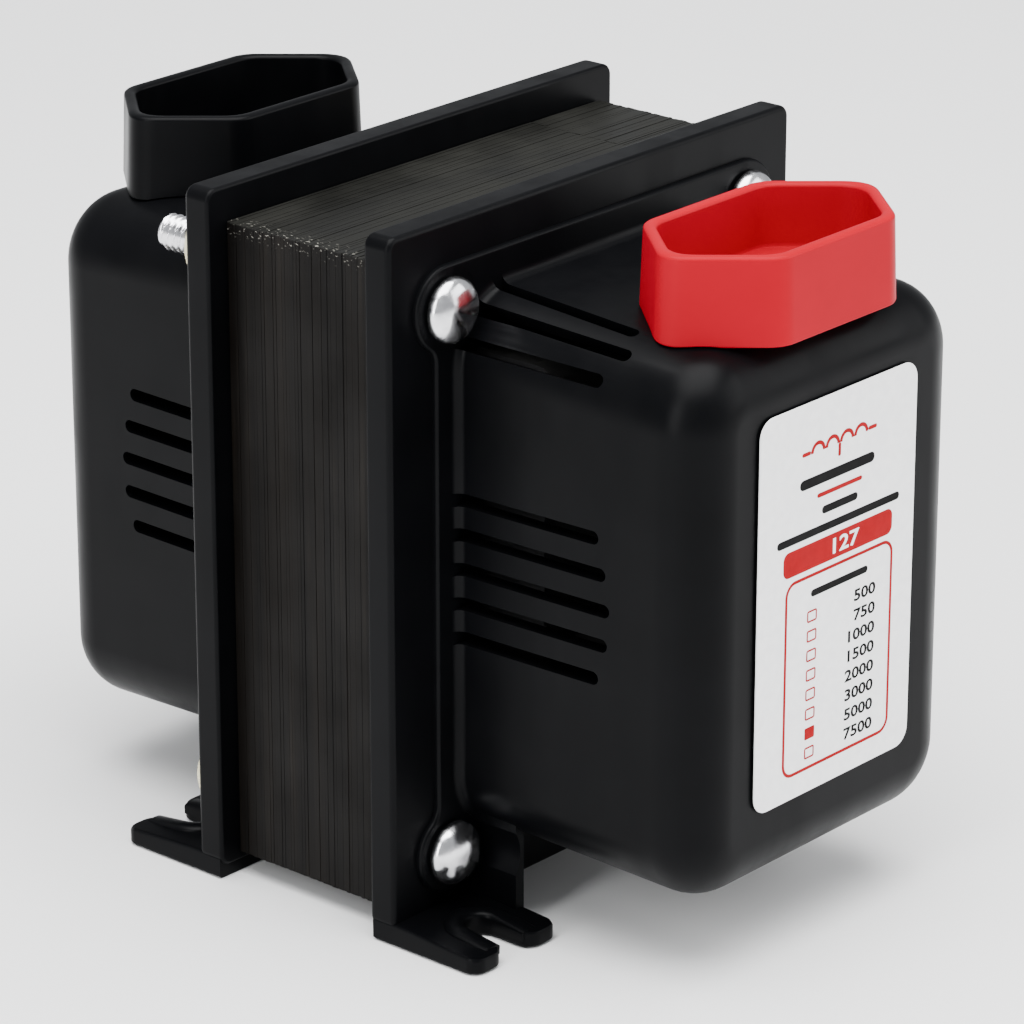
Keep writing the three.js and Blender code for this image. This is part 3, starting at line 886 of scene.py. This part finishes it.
def moulded_plastic(name, dark, light, rough_low, rough_high, grain=0.5, spec=0.4):
    """Injection-moulded plastic: fine spark-eroded grain, slow flow variation and faint handling marks."""
    n = Nodes(name)
    flow = n.noise(45, 4, (1, 0.6, 1.6))
    grit = n.noise(5200, 2)
    smear = n.noise(160, 6, (1, 1, 0.35), 0.6)
    color = n.ramp(flow, [(0.3, dark), (0.7, light)])
    roughness = n.span(smear, rough_low, rough_high, 0.35, 0.68)
    n.bump([(grit, grain * 0.25, 0.02), (flow, 0.12, 0.12)])
    return n.finish(color, roughness, Specular_IOR_Level=spec)


def lamination_steel(name):
    """Varnished sheet edges: a streak along each sheet, brown varnish pooled in patches, and painted glints
    (bright specks of painted highlight) along the top-left edge.
    """
    n = Nodes(name)
    streak = n.noise(900, 3, (0.03, 1, 0.03), 0.7)
    band = n.noise(260, 2, (0.02, 1, 0.02))
    pool = n.noise(90, 5)
    fine = n.noise(2600, 3)
    varnish = n.ramp(streak, [
        (0.32, (0.0008, 0.0006, 0.0005)), (0.55, (0.0030, 0.0023, 0.0018)), (0.78, (0.010, 0.008, 0.006))])
    warm = n.ramp(band, [(0.4, (0.0013, 0.001, 0.0008)), (0.62, (0.0045, 0.0033, 0.0024))])
    base = n.mix(n.span(pool, 0.25, 0.8), varnish, warm)
    height = n.add("ShaderNodeSeparateXYZ")
    n.link(n.coords, height.inputs["Vector"])
    # Painted light: the top faces of the sheets get a lighter tone, as if lit from above; it is not dust or
    # a different finish.
    top = n.span(height.outputs["Z"], 0, 1, (CORE_TOP - 0.25) * MM, (CORE_TOP - 0.12) * MM)
    # Painted glints: bright specks painted only near the top edge and the left side of the core, where the
    # light catches it.
    rim = n.span(height.outputs["Z"], 0, 1, (CORE_TOP - 2) * MM, CORE_TOP * MM)
    side = n.span(height.outputs["X"], 1, 0, -CORE_HALF_WIDTH * MM, (3 - CORE_HALF_WIDTH) * MM)
    speck = n.span(n.noise(3000, 2, (1, 0.5, 1)), 0, 1, 0.62, 0.7)
    glint = n.multiply(n.multiply(rim, side), speck)
    painted_top_light = n.ramp(pool, [(0.35, (0.0065, 0.0065, 0.0057)), (0.7, (0.013, 0.013, 0.0112))])
    color = n.mix(glint, n.mix(top, base, painted_top_light), (0.26, 0.25, 0.22))
    roughness = n.span(pool, 0.34, 0.62)
    n.bump([(streak, 0.5, 0.08), (fine, 0.25, 0.02)])
    return n.finish(color, roughness, Metallic=0.1, Specular_IOR_Level=0.09)


def plated_metal(name, dark, light, rough_low, rough_high):
    n = Nodes(name)
    cloud = n.noise(420, 4)
    scratch = n.noise(1500, 2, (1, 0.08, 1))
    color = n.ramp(cloud, [(0.3, dark), (0.7, light)])
    roughness = n.span(scratch, rough_low, rough_high)
    n.bump([(scratch, 0.12, 0.01), (cloud, 0.08, 0.03)])
    return n.finish(color, roughness, Metallic=1.0)


def ink(name, color, deeper, roughness):
    n = Nodes(name)
    mottle = n.noise(900, 3)
    tone = n.ramp(mottle, [(0.35, deeper), (0.65, color)])
    rough = n.span(n.noise(300, 2), roughness - 0.06, roughness + 0.06)
    n.bump([(mottle, 0.1, 0.005)])
    return n.finish(tone, rough, Specular_IOR_Level=0.05)


def wound_wire(name, dark, light):
    """Enamelled wire laid side by side along the coil."""
    n = Nodes(name)
    wave = n.add("ShaderNodeTexWave", wave_type="BANDS", bands_direction="X")
    wave.inputs["Scale"].default_value = 420
    n.link(n.coords, wave.inputs["Vector"])
    patch = n.noise(120, 3)
    color = n.ramp(patch, [(0.3, dark), (0.7, light)])
    n.bump([(wave.outputs["Fac"], 0.8, 0.3)])
    return n.finish(color, n.span(patch, 0.25, 0.4), Metallic=0.85)


BLACK = moulded_plastic("black_moulding", (0.0011, 0.0012, 0.0015),
                        (0.0021, 0.0022, 0.0027), 0.30, 0.44, spec=0.055)
RED = moulded_plastic("red_moulding", (0.30, 0.0, 0.008), (0.345, 0.0, 0.011), 0.34, 0.44, 0.35, 0.05)
STEEL = lamination_steel("varnished_laminations")
CHROME = plated_metal("chromed_steel", (0.62, 0.62, 0.64), (0.82, 0.82, 0.84), 0.13, 0.27)
ZINC = plated_metal("yellow_zinc", (0.52, 0.47, 0.30), (0.74, 0.70, 0.52), 0.22, 0.4)
BRASS = plated_metal("contact_brass", (0.55, 0.36, 0.11), (0.72, 0.50, 0.18), 0.2, 0.36)
COPPER = wound_wire("enamelled_copper", (0.42, 0.14, 0.05), (0.62, 0.25, 0.09))
NYLON = moulded_plastic("natural_nylon", (0.62, 0.58, 0.47), (0.74, 0.70, 0.58), 0.4, 0.55)
BOBBIN = moulded_plastic("black_nylon", (0.006, 0.006, 0.0065), (0.011, 0.011, 0.012), 0.4, 0.55)
PAPER = ink("insulation_paper_fibres", (0.22, 0.27, 0.19), (0.15, 0.19, 0.13), 0.8)
TAPE = moulded_plastic("black_cloth_tape", (0.010, 0.010, 0.010), (0.02, 0.02, 0.019), 0.5, 0.7, 1.0)
FILM = ink("label_film_white", (0.93, 0.93, 0.93), (0.88, 0.88, 0.885), 0.38)
RED_INK = ink("label_red_ink", (0.29, 0.0, 0.004), (0.26, 0.0, 0.003), 0.5)
BLACK_INK = ink("label_black_ink", (0.003, 0.003, 0.003), (0.005, 0.005, 0.005), 0.6)
SHEATH_BLACK = moulded_plastic("wire_black", (0.008, 0.008, 0.008), (0.014, 0.014, 0.014), 0.38, 0.5)
SHEATH_BLUE = moulded_plastic("wire_blue", (0.02, 0.07, 0.36), (0.03, 0.1, 0.46), 0.38, 0.5)
SHEATH_GREEN = moulded_plastic("wire_green", (0.02, 0.24, 0.05), (0.035, 0.34, 0.08), 0.38, 0.5)


# ---- assembly ------------------------------------------------------------------------------------------


def dress(obj, material, slot, *nodes):
    """Gives a piece its finish, attaches it to the body and hides the CAD nodes it stands for."""
    obj.data.materials.clear()
    obj.data.materials.append(material)
    for polygon in obj.data.polygons:
        polygon.material_index = 0
    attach(obj, BODY)
    if nodes:
        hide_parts(*nodes)
    return obj


HALF_TURN = Matrix.Rotation(math.pi, 4, "Z")

for end, plastic, plastic_slot in (("front", RED, "red_plastic"), ("rear", BLACK, "black_plastic")):
    cover = soften(cover_body(end))
    housing = soften(socket_body(end), 40)
    if end == "rear":
        turned(cover, HALF_TURN)
        turned(housing, HALF_TURN)
    dress(cover, BLACK, "black_plastic", f"{end}_cover")
    dress(housing, plastic, plastic_slot, f"{end}_socket_housing")

dress(sheet_stack("e_laminations", e_sheet(), 7), STEEL, "lamination_steel", "e_lamination_stack")
dress(sheet_stack("i_laminations", i_sheet(), 11), STEEL, "lamination_steel", "i_lamination_stack")

for corner in ("upper_left", "upper_right", "lower_left", "lower_right"):
    low, high = node_box(f"{corner}_bolt")
    x, z = (low.x + high.x) / 2, (low.z + high.z) / 2
    dress(soften(bolt_body(f"{corner}_domed_bolt", x, z, high.y), 50), CHROME, "chrome", f"{corner}_bolt")
    washer = washer_body(f"{corner}_spring_washer", x, z, *node_box(f"{corner}_washer"))
    dress(soften(washer, 50), ZINC, "zinc", f"{corner}_washer")
    nut = nut_body(f"{corner}_hex_nut", x, z, *node_box(f"{corner}_nut"))
    dress(soften(nut, 20), ZINC, "zinc", f"{corner}_nut")

film, red_print, black_print, rating_figures, banner_figures = label_pieces()
dress(soften(film, 50), FILM, "label_film", "rating_label")
dress(red_print, RED_INK, "label_film")
dress(black_print, BLACK_INK, "label_film")
dress(rating_figures, BLACK_INK, "label_film")
dress(banner_figures, FILM, "label_film")

INNER_FINISH = {
    "coil_bobbin": BOBBIN, "common_winding": COPPER, "series_winding": COPPER,
    "interlayer_insulation": PAPER, "outer_tape_wrap": TAPE, "thermal_protector": SHEATH_BLACK,
    "contact_carrier": NYLON, "contact": BRASS, "earth_lug": BRASS,
    "line_lead": SHEATH_BLACK, "neutral_lead": SHEATH_BLUE, "earth_lead": SHEATH_GREEN}
for node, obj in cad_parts.items():
    endings = [key for key in INNER_FINISH if node.endswith(key)]
    if endings:
        obj.material_slots[0].material = INNER_FINISH[max(endings, key=len)]

# ---- floor, light and camera -----------------------------------------------------------------------------


def simple_material(name, color, roughness):
    n = Nodes(name)
    tone = n.noise(6, 3)
    shade = n.ramp(tone, [(0.3, tuple(c * 0.985 for c in color)), (0.7, color)])
    return n.finish(shade, n.span(tone, roughness - 0.03, roughness + 0.03))


FAR = 4000
corners = [(-FAR, -FAR, 0), (FAR, -FAR, 0), (FAR, FAR, 0), (-FAR, FAR, 0)]
floor = new_object("floor", corners, [(0, 1, 2, 3)])
floor.data.materials.append(simple_material("pale_floor", (0.86, 0.86, 0.86), 0.6))
floor.location.z = -0.0001

world = bpy.data.worlds.new("studio")
bpy.context.scene.world = world
world.use_nodes = True
world.node_tree.nodes["Background"].inputs["Color"].default_value = (0.95, 0.97, 1, 1)
world.node_tree.nodes["Background"].inputs["Strength"].default_value = 0.6


def softbox(name, position, target, width, height, power):
    light = bpy.data.lights.new(name, "AREA")
    light.shape = "RECTANGLE"
    light.size = width
    light.size_y = height
    light.energy = power
    obj = bpy.data.objects.new(name, light)
    obj.location = position
    obj.rotation_euler = (Vector(target) - Vector(position)).to_track_quat("-Z", "Y").to_euler()
    bpy.context.collection.objects.link(obj)


MIDDLE = (0, 0, 0.045)
softbox("overhead", (-0.1, -0.1, 1.0), MIDDLE, 1.0, 1.0, 34)
softbox("front_fill", (0.7, -1.0, 0.6), MIDDLE, 1.0, 1.0, 14)
softbox("left_strip", (-1.1, -0.1, 0.45), MIDDLE, 0.25, 0.9, 8)

camera = bpy.data.objects.new("camera", bpy.data.cameras.new("camera"))
bpy.context.collection.objects.link(camera)
bpy.context.scene.camera = camera
VIEW_AZIMUTH = math.radians(-48.93)
VIEW_ELEVATION = math.radians(20.92)
VIEW_DISTANCE = 0.63
VIEW_TARGET = Vector((-0.0009, -0.0037, 0.0435))
back = Vector((math.sin(VIEW_AZIMUTH) * math.cos(VIEW_ELEVATION),
               -math.cos(VIEW_AZIMUTH) * math.cos(VIEW_ELEVATION), math.sin(VIEW_ELEVATION)))
camera.location = VIEW_TARGET + back * VIEW_DISTANCE
camera.rotation_mode = "QUATERNION"
camera.rotation_quaternion = (-back).to_track_quat("-Z", "Y")
camera.data.sensor_width = 36
camera.data.lens = 174.07
camera.data.clip_start = 0.01
